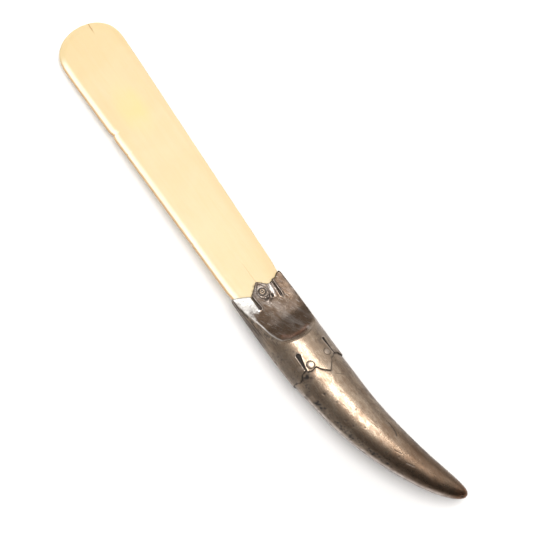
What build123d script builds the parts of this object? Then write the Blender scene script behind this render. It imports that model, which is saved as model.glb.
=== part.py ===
from build123d import *
import math
import os

os.makedirs("parts", exist_ok=True)

# Bone folder (paper-knife form): a flat bone blade held in a silver-plated, tusk-shaped handle.
# Working frame while modelling, in mm: X from the blade's nose to the tusk's tip, Y across the blade
# towards the side the tusk bends to, Z square to the blade. At the end every piece is tipped into the
# pose in which the object lies on a table, and the origin goes to the bottom centre of its box.

# ---- driving dimensions ----
BLADE = [  # station along the blade, half width, half thickness
    (0.0, 1.6, 0.50), (0.25, 3.1, 0.68), (0.9, 5.7, 0.86), (2.0, 8.2, 0.99), (3.6, 10.4, 1.08), (5.6, 12.2, 1.12),
    (8.0, 13.5, 1.16), (10.5, 14.15, 1.18), (13.5, 14.42, 1.20), (18.0, 14.42, 1.23), (26.0, 14.25, 1.28), (36.0, 13.98, 1.34),
    (50.0, 13.58, 1.43), (65.0, 13.15, 1.52), (80.0, 12.75, 1.61), (95.0, 12.38, 1.69), (110.0, 12.0, 1.78), (122.0, 11.68, 1.86),
    (129.0, 11.42, 1.90), (132.0, 11.12, 1.90), (143.0, 11.05, 1.90),
]
BEVEL_NOSE, BEVEL_COLLAR = 2.4, 4.4   # width of the soft bevel along each long edge
BLADE_END = 143.0         # full-width part ends here, inside the collar
TANG_END = 188.0
TANG_W0, TANG_W1 = 13.0, 8.0
TANG_T = 3.1

SHEET = 0.5               # collar sheet
FIT = 0.04                # working gap between sheet and what it wraps
COLLAR = [  # station, centre offset in Y, half width, half thickness of the round body
    (130.0, 0.00, 11.83, 10.23), (135.0, 0.08, 11.94, 10.33), (140.0, 0.20, 12.03, 10.41), (145.0, 0.33, 12.10, 10.47),
    (150.0, 0.46, 12.15, 10.51), (155.0, 0.56, 12.15, 10.51), (160.0, 0.67, 12.12, 10.48), (165.0, 0.82, 12.06, 10.43),
    (170.0, 1.02, 11.99, 10.37), (175.5, 1.32, 11.92, 10.31), (181.0, 1.82, 11.74, 10.16),
]
SCOOP = [  # the flat scooped faces: station, height above the mid plane on the centre line, fall per mm across towards +Y
    (128.0, 2.40, 0.000), (133.0, 2.50, 0.000), (137.0, 2.72, 0.020), (141.5, 3.00, 0.060), (146.0, 3.25, 0.110), (150.4, 3.62, 0.150),
    (153.0, 4.25, 0.150), (155.6, 5.35, 0.150), (158.9, 7.25, 0.150), (160.7, 9.20, 0.155), (161.6, 10.30, 0.160), (163.0, 12.60, 0.160),
]
COLLAR_END = 175.5        # plain rim at the handle side; the pointed lobes run past it
PIERCE_ROLL = 9.0         # the pierced pattern sits this many degrees round towards +Y

NECK_FROM = 166.0         # the tusk's mouth, under the collar
TUSK = [  # station, centre offset, direction in degrees, half width, thickness over width
    (186.0, 2.34, 5.7, 10.91, 0.868), (190.0, 2.74, 6.4, 10.67, 0.872), (194.0, 3.21, 7.5, 10.42, 0.876), (198.0, 3.78, 8.9, 10.14, 0.881),
    (202.0, 4.46, 10.5, 9.84, 0.886), (206.0, 5.26, 12.1, 9.53, 0.892), (210.0, 6.18, 13.6, 9.17, 0.898), (214.0, 7.20, 15.0, 8.79, 0.905),
    (218.0, 8.32, 16.4, 8.38, 0.912), (222.0, 9.54, 17.7, 7.94, 0.920), (226.0, 10.86, 19.1, 7.46, 0.928), (230.0, 12.29, 20.6, 6.94, 0.937),
    (234.0, 13.84, 22.3, 6.38, 0.946), (238.0, 15.55, 24.3, 5.74, 0.956), (241.5, 17.17, 26.3, 5.07, 0.966), (244.5, 18.70, 28.3, 4.32, 0.976),
    (246.8, 19.96, 30.0, 3.56, 0.984), (248.5, 20.96, 31.3, 2.78, 0.990), (249.6, 21.64, 32.2, 2.02, 0.995), (250.3, 22.09, 32.8, 1.2, 1.000),
    (250.55, 22.25, 33.0, 0.55, 1.000),
]
TUSK_WALL = 0.45          # stamped sheet; the tusk is hollow beyond the filling
FILL_END = 191.0          # the filling stops just past the end of the tang

RIVET_X, RIVET_Y, RIVET_R, RIVET_HEAD_R = 136.6, 0.6, 0.6, 1.25

REST_PITCH = 3.100         # how far the handle end is tipped up when the object lies on a table, degrees
REST_ROLL = 4.900           # roll about its length, towards the side the tusk bends to, degrees


def ellipse_plane(x, y, angle):
    a = math.radians(angle)
    return Plane(origin=(x, y, 0), x_dir=(-math.sin(a), math.cos(a), 0), z_dir=(math.cos(a), math.sin(a), 0))


def ring(x, y, angle, w, t):
    return ellipse_plane(x, y, angle) * Ellipse(w, t)


def round_body(rows, off):
    return loft(Sketch() + [ring(x, y, 0, w - off, t - off) for x, y, w, t in rows], ruled=True)


def scoop_cutter(off, side):
    # the material above the front scooped face (side 1), moved inwards by off along its normal; the back one (side -1) is the
    # front one turned half round the length
    sections = []
    for i, (x, z, fall) in enumerate(SCOOP):
        x0, z0, _ = SCOOP[max(i - 1, 0)]
        x1, z1, _ = SCOOP[min(i + 1, len(SCOOP) - 1)]
        l = math.hypot(x1 - x0, z1 - z0)
        xs, zs = x + off * (z1 - z0) / l, z - off * (x1 - x0) / l
        line = Polyline((xs, -16, zs + 16 * fall), (xs, 16, zs - 16 * fall), (xs, 16, 30), (xs, -16, 30), close=True)
        sections.append(make_face(line.edges()))
    cutter = loft(Sketch() + sections, ruled=True)
    return cutter if side > 0 else Rot(180, 0, 0) * cutter


def collar_space(off):
    body = round_body(COLLAR, off)
    return body - scoop_cutter(off, 1) - scoop_cutter(off, -1)


def neck_rows(off, start):
    # the tusk's mouth follows the inside of the collar
    rows = []
    for i, (x, y, w, t) in enumerate(COLLAR):
        if x > start:
            if not rows:
                x0, y0, w0, t0 = COLLAR[i - 1]
                k = (start - x0) / (x - x0)
                rows.append((start, y0 + k * (y - y0), w0 + k * (w - w0), t0 + k * (t - t0)))
            rows.append((x, y, w, t))
    return [ring(x, y, 0, w - off, t - off) for x, y, w, t in rows]


def tusk_body(off, last, start=NECK_FROM):
    faces = neck_rows(SHEET + FIT + off, start)
    faces += [ring(x, y, a, w - off, w * k - off) for x, y, a, w, k in TUSK[:last]]
    return loft(Sketch() + faces, ruled=True)


def tear(x_mouth, x_end, y, half_mouth, half_end):
    # a tear-shaped slit, narrow at its mouth on the edge and round at its closed end
    s = 1 if x_end > x_mouth else -1
    c = x_end - s * half_end
    return [
        Line((x_mouth, y - half_mouth), (c, y - half_end)),
        ThreePointArc((c, y - half_end), (x_end, y), (c, y + half_end)),
        Line((c, y + half_end), (x_mouth, y + half_mouth)),
        Line((x_mouth, y + half_mouth), (x_mouth, y - half_mouth)),
    ]


# ---- blade: nose, long bevelled sides, full-width seat in the collar, then a narrow tang ----
def blade_section(x, h, t):
    bevel = min(BEVEL_NOSE + (BEVEL_COLLAR - BEVEL_NOSE) * x / 130.0, 0.45 * h)
    side = [(h - bevel, t), (h - 0.35, 0.62 * t), (h, 0.22 * t), (h, -0.22 * t), (h - 0.35, -0.62 * t), (h - bevel, -t)]
    loop = side + [(-y, z) for y, z in reversed(side)]
    return make_face(Polyline(*[(x, y, z) for y, z in loop], close=True).edges())


blade = loft(Sketch() + [blade_section(*row) for row in BLADE], ruled=True)
tang_plan = make_face(Polyline((BLADE_END - 3, TANG_W0 / 2), (TANG_END - 3, TANG_W1 / 2), (TANG_END, TANG_W1 / 2 - 2.5),
                               (TANG_END, -TANG_W1 / 2 + 2.5), (TANG_END - 3, -TANG_W1 / 2), (BLADE_END - 3, -TANG_W0 / 2), close=True).edges())
tang = Pos(0, 0.4, -TANG_T / 2) * extrude(tang_plan, amount=TANG_T)
blade = blade + tang
blade = blade - Pos(RIVET_X, RIVET_Y, 0) * Cylinder(RIVET_R + 0.02, 20)

# ---- collar: one wrapped sheet, scooped flat front and back, pierced and pointed at both rims ----
outer = collar_space(0)
inner = collar_space(SHEET)
collar = outer - inner
Y0 = 0.8  # middle of the pierced pattern on the flat faces
blade_rim = [(126, -14), (132.6, -13.0), (132.7, Y0 - 11.9), (133.2, Y0 - 10.8), (135.5, Y0 - 6.3), (136.0, Y0 - 5.2), (134.9, Y0 - 3.5),
             (133.6, Y0 - 2.2), (132.0, Y0 - 0.2)]
mirrored = [(x, 2 * Y0 - y) for x, y in reversed(blade_rim)]
rim_cut = make_face(Polyline(*(blade_rim + mirrored), close=True).edges())
cut_front = extrude(rim_cut, amount=20)
cut_back = extrude(mirror(rim_cut, Plane.XZ), amount=-20)
collar = collar - cut_front - cut_back
for s in (-1, 1):
    slit = make_face(tear(134.5, 142.6, Y0 + s * 5.4, 0.28, 0.8))
    collar = collar - extrude(slit, amount=20)
    slit = make_face(tear(134.5, 142.6, -Y0 + s * 5.4, 0.28, 0.8))
    collar = collar - extrude(slit, amount=-20)
# handle-side rim: station against angle round the body, from the middle of the pattern
RIM = [(0, 179.6), (7, 178.4), (14.5, 176.9), (17.5, 175.3), (24, 175.6), (30, 175.3), (35, 174.1), (42, 175.4), (50, 174.7), (58, 175.6)]


def rim_face(sign):
    pts = []
    for phi, x in [(-p, x) for p, x in reversed(RIM[1:])] + RIM:
        a = math.radians(phi + PIERCE_ROLL * 1.0)
        pts.append((x, sign * (11.6 * math.sin(a)) + 1.4))
    pts = [(COLLAR_END, pts[0][1])] + pts[0:] + [(COLLAR_END, pts[-1][1])]
    first, last = pts[0], pts[-1]
    loop = pts + [(COLLAR_END, last[1] + sign * 8), (190, last[1] + sign * 8), (190, first[1] - sign * 8), (COLLAR_END, first[1] - sign * 8)]
    clean = [loop[0]]
    for p in loop[1:]:
        if math.dist(p, clean[-1]) > 0.02:
            clean.append(p)
    return make_face(Polyline(*clean, close=True).edges())


collar = collar - extrude(rim_face(1), amount=20) - extrude(rim_face(-1), amount=-20)
for phi in (-35.0, 35.0):
    a = math.radians(phi + PIERCE_ROLL)
    y = 11.6 * math.sin(a)
    collar = collar - extrude(make_face(tear(177.0, 166.8, y + 1.2, 0.3, 0.85)), amount=20)
    collar = collar - extrude(make_face(tear(177.0, 166.8, -y + 1.2, 0.3, 0.85)), amount=-20)
collar = collar - Pos(RIVET_X, RIVET_Y, 0) * Cylinder(RIVET_R + 0.02, 20)
if len(collar.solids()) > 1:
    collar = max(collar.solids(), key=lambda s: s.volume)

# ---- tusk: two stamped half shells, soldered along the sides; their mouth sits under the collar ----
tusk_outer = tusk_body(0, len(TUSK))
tusk_inner = tusk_body(TUSK_WALL, len(TUSK) - 5)
shell = tusk_outer - tusk_inner
half = Box(140, 80, 30, align=(Align.CENTER, Align.CENTER, Align.MIN))
front_shell = shell & (Pos(220, 10, 0.01) * half)
back_shell = shell & (Pos(220, 10, -30.01) * half)

# ---- pitch filling: set hard round the tang, from inside the collar into the tusk's mouth ----
fill_collar = collar_space(SHEET + FIT) & (Pos(152.95, 0, 0) * Box(25.9, 40, 40))
fill_tusk = tusk_body(TUSK_WALL + FIT, 6, NECK_FROM - 1.5) & (Pos(FILL_END - 50, 0, 0) * Box(100, 60, 60))
filling = fill_collar + fill_tusk - blade - Pos(RIVET_X, RIVET_Y, 0) * Cylinder(RIVET_R + 0.05, 20)
if len(filling.solids()) > 1:
    filling = max(filling.solids(), key=lambda s: s.volume)

# ---- rivet: one pin through both pointed lobes and the blade, its ends spread into low heads ----
rivet = Pos(RIVET_X, RIVET_Y, 0) * Cylinder(RIVET_R, 5.6)
for s in (1, -1):
    dome = Pos(RIVET_X, RIVET_Y, s * 2.35) * Sphere(1.5)
    dome = dome & (Pos(RIVET_X, RIVET_Y, s * 3.0) * Cylinder(RIVET_HEAD_R, 3.0))
    dome = dome & (Pos(RIVET_X, RIVET_Y, s * 1.9) * Box(6, 6, 2.75))
    rivet = rivet + (dome - outer)

pieces = {
    "blade": blade,
    "collar": collar,
    "tusk_front_shell": front_shell,
    "tusk_back_shell": back_shell,
    "pitch_filling": filling,
    "lobe_rivet": rivet,
}

# ---- lay it down as it rests, then put the origin at the bottom centre of the whole box ----
rest = Rot(0, -REST_PITCH, 0)
roll = Rot(-REST_ROLL, 0, 0)
placed = {n: rest * (roll * p) for n, p in pieces.items()}
# the belly of the collar is worn flat where it touches the table, level with the corner of the nose
table = placed["blade"].bounding_box().min.Z
placed["collar"] = placed["collar"] - Pos(0, 0, table) * Box(600, 100, 20, align=(Align.CENTER, Align.CENTER, Align.MAX))
lo, hi = [1e9] * 3, [-1e9] * 3
for p in placed.values():
    bb = p.bounding_box()
    for i, (a, b) in enumerate(zip(tuple(bb.min), tuple(bb.max))):
        lo[i], hi[i] = min(lo[i], a), max(hi[i], b)
shift = Pos(-(lo[0] + hi[0]) / 2, -(lo[1] + hi[1]) / 2, -lo[2])
print("shift", [-(lo[0] + hi[0]) / 2, -(lo[1] + hi[1]) / 2, -lo[2]], "size", [hi[i] - lo[i] for i in range(3)])
for n, p in placed.items():
    solids = (shift * p).solids()
    print(n, len(solids), round(sum(s.volume for s in solids), 1))
    export_step(solids[0] if len(solids) == 1 else Compound(solids), "parts/" + n + ".step")
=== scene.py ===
import bpy
import math
import numpy as np
from mathutils import Matrix, Vector
from mathutils.geometry import delaunay_2d_cdt
from mathutils.kdtree import KDTree


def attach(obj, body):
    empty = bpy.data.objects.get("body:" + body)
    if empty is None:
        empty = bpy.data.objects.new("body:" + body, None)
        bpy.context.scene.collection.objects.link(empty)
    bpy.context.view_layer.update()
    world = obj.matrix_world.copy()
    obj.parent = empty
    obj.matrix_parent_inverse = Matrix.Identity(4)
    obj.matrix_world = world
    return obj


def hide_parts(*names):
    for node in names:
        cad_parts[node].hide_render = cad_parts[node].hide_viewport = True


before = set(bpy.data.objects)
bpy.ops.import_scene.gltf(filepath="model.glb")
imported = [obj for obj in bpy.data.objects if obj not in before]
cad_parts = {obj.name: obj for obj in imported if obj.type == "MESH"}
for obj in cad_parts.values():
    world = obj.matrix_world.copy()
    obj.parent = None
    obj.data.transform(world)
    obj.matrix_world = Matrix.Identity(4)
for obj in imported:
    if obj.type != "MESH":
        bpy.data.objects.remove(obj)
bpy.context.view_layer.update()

# ------------------------------------------------------------------ shared frame
# Shapes are worked out in the modelling frame of the CAD (mm: X nose to tip, Y across, Z square to the blade) and laid
# down into the row frame exactly as the CAD is.
PITCH, ROLL = math.radians(-3.100), math.radians(-4.900)
SHIFT = np.array([-125.326218, -4.441097, 1.657682])
CP, SP, CR, SR = math.cos(PITCH), math.sin(PITCH), math.cos(ROLL), math.sin(ROLL)


def turn(p):
    p = np.asarray(p, float)
    x, y, z = p[..., 0], p[..., 1], p[..., 2]
    y, z = y * CR - z * SR, y * SR + z * CR
    x, z = x * CP + z * SP, -x * SP + z * CP
    return np.stack([x, y, z], -1)


def to_row(p):
    return (turn(p) + SHIFT) / 1000.0


# ------------------------------------------------------------------ small numeric helpers
def pchip(xs, ys):
    xs, ys = np.asarray(xs, float), np.asarray(ys, float)
    h, d = np.diff(xs), np.diff(ys) / np.diff(xs)
    m = np.zeros(len(xs))
    for i in range(1, len(xs) - 1):
        if d[i - 1] * d[i] > 0:
            w1, w2 = 2 * h[i] + h[i - 1], h[i] + 2 * h[i - 1]
            m[i] = (w1 + w2) / (w1 / d[i - 1] + w2 / d[i])
    m[0], m[-1] = d[0], d[-1]

    def f(x):
        x = np.clip(np.asarray(x, float), xs[0], xs[-1])
        i = np.clip(np.searchsorted(xs, x, side="right") - 1, 0, len(xs) - 2)
        t = (x - xs[i]) / h[i]
        t2, t3 = t * t, t * t * t
        return (2 * t3 - 3 * t2 + 1) * ys[i] + (t3 - 2 * t2 + t) * h[i] * m[i] + (3 * t2 - 2 * t3) * ys[i + 1] + (t3 - t2) * h[i] * m[i + 1]

    return f


def smin(a, b, k):
    h = np.clip(0.5 + 0.5 * (b - a) / k, 0, 1)
    return b + (a - b) * h - k * h * (1 - h)


def smax(a, b, k):
    return -smin(-a, -b, k)


def step(a, b, x):
    t = np.clip((np.asarray(x, float) - a) / (b - a), 0, 1)
    return t * t * (3 - 2 * t)


def waves(p, scale, seed, n=28):
    # a smooth random field in -1..1, features about `scale` mm across
    rng = np.random.default_rng(seed)
    p = np.asarray(p, float)
    out = np.zeros(p.shape[:-1])
    for _ in range(n):
        d = rng.normal(size=3)
        d /= np.linalg.norm(d)
        f = 2 * math.pi / scale * rng.uniform(0.45, 1.35)
        out += np.sin(p @ d * f + rng.uniform(0, 6.28))
    return out / math.sqrt(n)


def seg_dist(p, a, b):
    # distance of 2-D points from a segment, and how far along it
    a, b = np.asarray(a, float), np.asarray(b, float)
    ab = b - a
    t = np.clip(((p - a) @ ab) / (ab @ ab), 0, 1)
    return np.linalg.norm(p - (a + t[..., None] * ab), axis=-1), t


def poly_dist(p, pts):
    d = np.full(p.shape[:-1], 1e9)
    for a, b in zip(pts[:-1], pts[1:]):
        d = np.minimum(d, seg_dist(p, a, b)[0])
    return d


def inside(p, poly):
    poly = np.asarray(poly, float)
    x, y = p[:, 0], p[:, 1]
    c = np.zeros(len(p), bool)
    for (x0, y0), (x1, y1) in zip(poly, np.roll(poly, -1, 0)):
        if y0 == y1:
            continue
        hit = ((y0 > y) != (y1 > y)) & (x < (x1 - x0) * (y - y0) / (y1 - y0) + x0)
        c ^= hit
    return c


def resample(pts, gap, closed=False):
    pts = [np.asarray(p, float) for p in pts]
    if closed:
        pts = pts + [pts[0]]
    out = []
    for a, b in zip(pts[:-1], pts[1:]):
        n = max(1, int(round(np.linalg.norm(b - a) / gap)))
        out += [a + (b - a) * i / n for i in range(n)]
    if not closed:
        out.append(pts[-1])
    return np.array(out)


def make_object(name, verts, faces, attrs, material, body="root", nodes=(), sharp=38.0):
    me = bpy.data.meshes.new(name)
    laid = to_row(verts)
    laid[:, 2] = np.maximum(laid[:, 2], 0.0)
    me.from_pydata(laid.tolist(), [], [tuple(int(i) for i in f) for f in faces])
    me.validate(clean_customdata=False)
    me.shade_smooth()
    me.set_sharp_from_angle(angle=math.radians(sharp))
    for key, values in attrs.items():
        at = me.attributes.new(key, "FLOAT", "POINT")
        at.data.foreach_set("value", np.asarray(values, np.float32))
    me.materials.append(material)
    o = bpy.data.objects.new(name, me)
    bpy.context.scene.collection.objects.link(o)
    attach(o, body)
    if nodes:
        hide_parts(*nodes)
    return o


def grid_faces(nu, nv, start=0, flip=False):
    i, j = np.meshgrid(np.arange(nu - 1), np.arange(nv - 1), indexing="ij")
    a = start + i * nv + j
    q = np.stack([a, a + nv, a + nv + 1, a + 1], -1).reshape(-1, 4)
    return q[:, ::-1] if flip else q


# ------------------------------------------------------------------ the dimensions, as in the CAD
BLADE = [
    (0.0, 1.6), (0.25, 3.1), (0.9, 5.7), (2.0, 8.2), (3.6, 10.4), (5.6, 12.2), (8.0, 13.5), (10.5, 14.15), (13.5, 14.42), (18.0, 14.42),
    (26.0, 14.25), (36.0, 13.98), (50.0, 13.58), (65.0, 13.15), (80.0, 12.75), (95.0, 12.38), (110.0, 12.0), (122.0, 11.68),
    (129.0, 11.42), (132.0, 11.12), (143.0, 11.05),
]
BLADE_T = [(0.0, 1.16), (8.0, 1.17), (13.5, 1.20), (18.0, 1.23), (26.0, 1.28), (36.0, 1.34), (50.0, 1.43), (80.0, 1.61), (110.0, 1.78),
           (122.0, 1.86), (129.0, 1.90), (143.0, 1.90)]
COLLAR = [
    (130.0, 0.00, 11.83, 10.23), (135.0, 0.08, 11.94, 10.33), (140.0, 0.20, 12.03, 10.41), (145.0, 0.33, 12.10, 10.47),
    (150.0, 0.46, 12.15, 10.51), (155.0, 0.56, 12.15, 10.51), (160.0, 0.67, 12.12, 10.48), (165.0, 0.82, 12.06, 10.43),
    (170.0, 1.02, 11.99, 10.37), (175.5, 1.32, 11.92, 10.31), (181.0, 1.82, 11.74, 10.16),
]
SCOOP = [
    (128.0, 2.40, 0.000), (133.0, 2.50, 0.000), (137.0, 2.72, 0.020), (141.5, 3.00, 0.060), (146.0, 3.25, 0.110), (150.4, 3.62, 0.150),
    (153.0, 4.25, 0.150), (155.6, 5.35, 0.150), (158.9, 7.25, 0.150), (160.7, 9.20, 0.155), (161.6, 10.30, 0.160), (163.0, 12.60, 0.160),
]
TUSK = [
    (186.0, 2.34, 5.7, 10.91, 0.868), (190.0, 2.74, 6.4, 10.67, 0.872), (194.0, 3.21, 7.5, 10.42, 0.876), (198.0, 3.78, 8.9, 10.14, 0.881),
    (202.0, 4.46, 10.5, 9.84, 0.886), (206.0, 5.26, 12.1, 9.53, 0.892), (210.0, 6.18, 13.6, 9.17, 0.898), (214.0, 7.20, 15.0, 8.79, 0.905),
    (218.0, 8.32, 16.4, 8.38, 0.912), (222.0, 9.54, 17.7, 7.94, 0.920), (226.0, 10.86, 19.1, 7.46, 0.928), (230.0, 12.29, 20.6, 6.94, 0.937),
    (234.0, 13.84, 22.3, 6.38, 0.946), (238.0, 15.55, 24.3, 5.74, 0.956), (241.5, 17.17, 26.3, 5.07, 0.966), (244.5, 18.70, 28.3, 4.32, 0.976),
    (246.8, 19.96, 30.0, 3.56, 0.984), (248.5, 20.96, 31.3, 2.78, 0.990), (249.6, 21.64, 32.2, 2.02, 0.995), (250.3, 22.09, 32.8, 1.2, 1.000),
    (250.55, 22.25, 33.0, 0.55, 1.000),
]
R0 = 11.8            # mm of girth for one radian round the collar
TURN = math.pi * R0  # half the girth in that measure
SHEET, WALL, FIT = 0.46, 0.45, 0.04
ROLLED = 9.0

_c = np.array(COLLAR)
c_y, c_w, c_t = (pchip(_c[:, 0], _c[:, i]) for i in (1, 2, 3))
_s = np.array(SCOOP)
s_z, s_m = pchip(_s[:, 0], _s[:, 1]), pchip(_s[:, 0], _s[:, 2])
_b = np.array(BLADE)
b_h = pchip(_b[:, 0], _b[:, 1])
_t = np.array(BLADE_T)
b_t = pchip(_t[:, 0], _t[:, 1])


# ------------------------------------------------------------------ the collar's cut edges
# Blade-side edge of the front face: station and place across. The back has the same pattern turned half round the length.
FRONT_RIM = [
    (132.62, -13.2), (132.65, -11.35), (132.95, -10.4), (134.1, -8.0), (135.3, -5.6), (135.95, -4.75),           # left wing down to slit 1
    (135.85, -4.12), (134.7, -2.7), (133.75, -1.55), (132.75, -0.4), (132.05, 0.35), (131.95, 0.8),              # left side of the pointed lobe
    (132.35, 1.35), (133.05, 2.1), (134.1, 3.1), (134.95, 4.1), (135.25, 4.9), (135.15, 5.8),                    # its right side, to the cusp
    (134.75, 6.35), (134.5, 6.75), (134.35, 7.5), (134.45, 8.3), (133.95, 9.1), (133.35, 9.8), (133.0, 10.5),
    (133.25, 11.1), (133.75, 11.5), (133.6, 12.2), (132.9, 12.9),
]
SLIT1 = [(135.95, -4.75), (142.0, -4.75), (135.85, -4.12)]  # kept for reference: mouth, end, mouth


def tear_outline(mouth_a, mouth_b, end, r, n=14):
    # a tear-shaped slit from its two mouth points to a round end
    a, b, e = (np.array(v, float) for v in (mouth_a, mouth_b, end))
    m = (a + b) / 2
    d = (e - m) / np.linalg.norm(e - m)
    c = e - d * r
    nrm = np.array([-d[1], d[0]])
    if (a - m) @ nrm < 0:
        nrm = -nrm
    arc = [c + r * (math.cos(t) * nrm + math.sin(t) * d) for t in np.linspace(-0.25, math.pi + 0.25, n)]
    mid_a = a * 0.5 + arc[0] * 0.5 - nrm * 0.06
    mid_b = b * 0.5 + arc[-1] * 0.5 + nrm * 0.06
    return [tuple(a), tuple(mid_a)] + [tuple(p) for p in arc] + [tuple(mid_b), tuple(b)]


def plan_to_uv(pts):
    pts = np.asarray(pts, float)
    s = np.clip((pts[:, 1] - c_y(pts[:, 0])) / c_w(pts[:, 0]), -1, 1)
    return np.stack([pts[:, 0], np.arcsin(s) * R0], 1)


left_wing, lobe, right_side = FRONT_RIM[:6], FRONT_RIM[6:19], FRONT_RIM[19:]
slit1 = tear_outline((135.95, -4.75), (135.85, -4.12), (142.6, -4.2), 0.62)
slit2 = tear_outline((134.75, 6.35), (134.5, 6.75), (142.3, 6.45), 0.42)
front_plan = left_wing[:-1] + slit1 + lobe[1:-1] + slit2 + right_side[1:]
front_plan = [p for p in front_plan if abs(p[1]) < 11.75]
front_uv = plan_to_uv(resample(front_plan, 0.14))
SIDE = math.pi / 2 * R0
# sides: plain edge between the two patterns
front_line = np.vstack([[132.62, -SIDE], front_uv, [132.8, SIDE]])
back_line = front_line[:, :].copy()
back_line[:, 1] = back_line[:, 1] + TURN  # turned half round
blade_side = []
for k in (0, 1):
    line = front_line.copy()
    line[:, 1] += k * TURN
    blade_side.append(line)
blade_side = np.vstack(blade_side)  # v from -SIDE to 3*SIDE
# handle-side edge: angle from the middle of the pattern against station
LOBES = [
    (-84, 175.75), (-74, 175.75), (-65.5, 176.6), (-58, 176.1), (-51.5, 174.75), (-45.5, 174.35), (-38.2, 174.2),   # left of slit 3
    (-33.8, 175.2), (-29.5, 175.6), (-24, 175.45), (-19, 175.15), (-15.8, 175.25), (-12.5, 176.7), (-8, 177.9), (-3.5, 178.7),
    (0, 179.35), (2.5, 179.65), (5.0, 179.0), (9, 178.1), (13, 177.2), (17.5, 176.5), (20.5, 175.4), (23.5, 175.15), (28, 174.9), (33, 174.25),
    (37.2, 174.05), (45, 174.4), (51, 174.8), (58, 176.0), (65, 176.5), (74, 175.5), (84, 175.3),
]
lob = np.array([(x, math.radians(p + ROLLED) * R0) for p, x in LOBES])
i3 = [i for i, (p, x) in enumerate(LOBES) if p == -38.2][0]
i4 = [i for i, (p, x) in enumerate(LOBES) if p == 33][0]
end3 = (166.75, math.radians(-30.2 + 0.0) * R0 + 1.6)
slit3 = tear_outline(tuple(lob[i3]), tuple(lob[i3 + 1] + np.array([-0.2, -0.62])), (166.75, math.radians(-22.0) * R0), 0.92)
slit4 = tear_outline(tuple(lob[i4] + np.array([0.1, 0.45])), tuple(lob[i4 + 1]), (166.4, math.radians(45.0) * R0), 0.72)
handle_front = np.vstack([lob[: i3], np.array(slit3), lob[i3 + 1 : i4 + 1], np.array(slit4), lob[i4 + 2 :]])
handle_front = resample(handle_front, 0.14)
handle_side = []
for k in (0, 1):
    line = handle_front.copy()
    line[:, 1] += k * TURN
    handle_side.append(line)
handle_side = np.vstack(handle_side)


def collar_point(u, v):
    phi = v / R0
    y = c_y(u) + c_w(u) * np.sin(phi)
    z = c_t(u) * np.cos(phi)
    k = 0.9 - 0.62 * step(134, 150, u)
    z = smin(z, s_z(u) - s_m(u) * y, k)
    z = smax(z, -(s_z(u) + s_m(u) * y), k)
    return np.stack([u, y, z], -1)


def wrap_v(v):
    # girth measured from the middle of the front pattern, -TURN..TURN
    return (v + TURN) % (2 * TURN) - TURN


def front_coords(u, v):
    # the same pattern on the front and, turned half round, on the back: returns station, girth and place across
    vv = wrap_v(v)
    back = np.abs(vv) > SIDE
    vv = np.where(back, wrap_v(vv + TURN), vv)
    p = collar_point(u, vv)
    return u, vv, p[..., 1], back


# rings and bumps on the round part: station, angle, radius
RINGS = [(173.25, -13.8, 1.62, 1.0), (172.3, -36.4, 1.6, 0.45), (172.3, 31.0, 1.5, 0.8), (172.0, 52.5, 1.45, 0.5)]


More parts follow.
